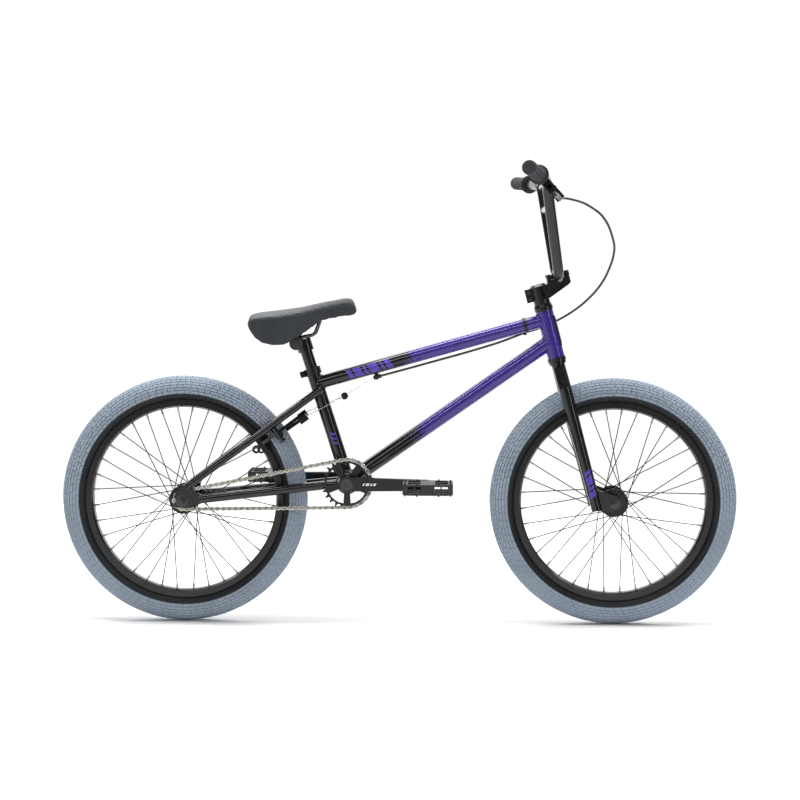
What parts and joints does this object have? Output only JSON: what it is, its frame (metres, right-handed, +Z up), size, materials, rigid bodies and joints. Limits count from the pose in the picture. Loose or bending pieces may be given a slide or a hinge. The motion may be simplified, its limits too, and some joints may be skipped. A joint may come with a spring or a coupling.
{
  "type": "bmx bike",
  "caption": "Freestyle bicycle with small wheels, fat tyres, high-rise handlebar, platform pedals, rear rim brake with lever and cable, and a low padded saddle.",
  "frame": {"origin": "on the ground, midway between the two axles, on the centre plane", "axes": "+X forwards, +Y to the rider's left, +Z up; the chain is on the -Y side"},
  "size_m": [1.4248, 0.7454, 0.9563],
  "materials": {
    "frame_purple": "gloss metallic purple paint",
    "frame_black": "gloss black paint",
    "parts_black": "semi-gloss black coating",
    "alloy_black": "black anodised",
    "steel_dark": "dark zinc plating",
    "steel_bright": "bright plating",
    "chain_nickel": "nickel plating",
    "spoke_black": "black coated wire",
    "tyre_blue_grey": "matt blue-grey tread, black sidewall",
    "grip_rubber": "matt dark grey rubber",
    "cable_sheath": "black cable housing",
    "pedal_plastic": "matt black plastic",
    "saddle_cover": "charcoal synthetic leather",
    "saddle_shell": "black moulded plastic"
  },
  "bodies": {
    "frame": {"head_tube": "frame_purple", "top_tube": "frame_purple", "down_tube": "frame_purple", "seat_tube": "frame_black", "bottom_bracket_shell": "frame_black", "chain_stays": "frame_black", "seat_stays": "frame_black", "rear_dropouts": "frame_black", "stay_bridges": "frame_black", "brake_bosses": "frame_black", "cable_guides": "parts_black", "seat_clamp": "alloy_black", "headset_cups": "alloy_black", "frame_bearings": "steel_bright", "rear_axle": "steel_dark", "chain": "chain_nickel", "brake_cable": "cable_sheath", "brake_wire": "steel_bright"},
    "steering": {"fork_steerer": "frame_black", "fork_legs": "frame_black", "fork_dropouts": "frame_black", "headset_spacers": "alloy_black", "stem_body": "alloy_black", "stem_cap": "alloy_black", "stem_bolts": "steel_dark", "top_cap": "alloy_black", "handlebar": "parts_black", "crossbar": "parts_black", "grip_right": "grip_rubber", "grip_left": "grip_rubber", "brake_perch": "parts_black", "front_axle": "steel_dark"},
    "front_wheel": {"front_tyre": "tyre_blue_grey", "front_rim": "alloy_black", "front_spokes": "spoke_black", "front_hub": "alloy_black", "front_hub_bearings": "steel_bright"},
    "rear_wheel": {"rear_tyre": "tyre_blue_grey", "rear_rim": "alloy_black", "rear_spokes": "spoke_black", "rear_hub": "alloy_black", "rear_hub_bearings": "steel_bright"},
    "driver": {"driver_cog": "steel_dark"},
    "crank": {"crank_arm_right": "parts_black", "crank_arm_left": "parts_black", "crank_spindle": "steel_dark", "sprocket": "alloy_black", "pedal_axles": "steel_dark"},
    "right_pedal": {"pedal_right": "pedal_plastic"},
    "left_pedal": {"pedal_left": "pedal_plastic"},
    "seat_mast": {"seat_post": "parts_black", "saddle_clamp": "parts_black"},
    "saddle": {"rail_clamp": "steel_dark", "saddle_rails": "steel_dark", "saddle_base": "saddle_shell", "saddle_pad": "saddle_cover"},
    "lever": {"brake_lever": "parts_black"},
    "right_arm": {"brake_arm_right": "parts_black"},
    "left_arm": {"brake_arm_left": "parts_black"},
    "hanger": {"cable_hanger": "parts_black"}
  },
  "joints": [
    {"name": "steering_turn", "type": "hinge", "parent": "frame", "child": "steering", "pos_m": [0.31719, 0, 0.61197], "axis": [-0.2588, 0, 0.9659], "range_deg": [-70, 70], "deforming": ["brake_cable"]},
    {"name": "front_wheel_spin", "type": "hinge", "parent": "steering", "child": "front_wheel", "pos_m": [0.4525, 0, 0.26], "axis": [0, 1, 0], "continuous": true},
    {"name": "rear_wheel_spin", "type": "hinge", "parent": "frame", "child": "rear_wheel", "pos_m": [-0.4525, 0, 0.26], "axis": [0, 1, 0], "continuous": true},
    {"name": "crank_spin", "type": "hinge", "parent": "frame", "child": "crank", "pos_m": [-0.10681, 0, 0.298], "axis": [0, 1, 0], "continuous": true, "deforming": ["chain"]},
    {"name": "driver_spin", "type": "hinge", "parent": "frame", "child": "driver", "pos_m": [-0.4525, 0, 0.26], "axis": [0, 1, 0], "continuous": true, "deforming": ["chain"]},
    {"name": "right_pedal_spin", "type": "hinge", "parent": "crank", "child": "right_pedal", "pos_m": [0.06319, -0.12, 0.298], "axis": [0, 1, 0], "continuous": true},
    {"name": "left_pedal_spin", "type": "hinge", "parent": "crank", "child": "left_pedal", "pos_m": [-0.27681, 0.12, 0.298], "axis": [0, 1, 0], "continuous": true},
    {"name": "seat_height", "type": "slide", "parent": "frame", "child": "seat_mast", "axis": [-0.309, 0, 0.9511], "range_m": [-0.02, 0.05]},
    {"name": "saddle_tilt", "type": "hinge", "parent": "seat_mast", "child": "saddle", "pos_m": [-0.216, 0, 0.59], "axis": [0, 1, 0], "range_deg": [-8, 8]},
    {"name": "brake_lever_pull", "type": "hinge", "parent": "steering", "child": "lever", "pos_m": [0.30737, -0.22118, 0.90631], "axis": [-0.7396, 0.0973, -0.666], "range_deg": [0, 20], "stiffness_Nm_per_rad": 0.3, "springref_deg": -5.73, "deforming": ["brake_wire"]},
    {"name": "right_arm_pivot", "type": "hinge", "parent": "frame", "child": "right_arm", "pos_m": [-0.25109, -0.036, 0.39893], "axis": [0.5906, 0, -0.807], "range_deg": [0, 2.2], "deforming": ["brake_wire"]},
    {"name": "left_arm_pivot", "type": "hinge", "parent": "frame", "child": "left_arm", "pos_m": [-0.25109, 0.036, 0.39893], "axis": [-0.5906, 0, 0.807], "range_deg": [0, 2.2], "deforming": ["brake_wire"]},
    {"name": "hanger_slide", "type": "slide", "parent": "frame", "child": "hanger", "axis": [0.843, 0, 0.5379], "range_m": [0, 0.003], "deforming": ["brake_wire"]}
  ],
  "couplings": [
    {"joint": "driver_spin", "follows": "crank_spin", "ratio": 2.7778},
    {"joint": "right_arm_pivot", "follows": "brake_lever_pull", "ratio": 0.11},
    {"joint": "left_arm_pivot", "follows": "brake_lever_pull", "ratio": 0.11},
    {"joint": "hanger_slide", "follows": "brake_lever_pull", "m_per_rad": 0.008}
  ]
}
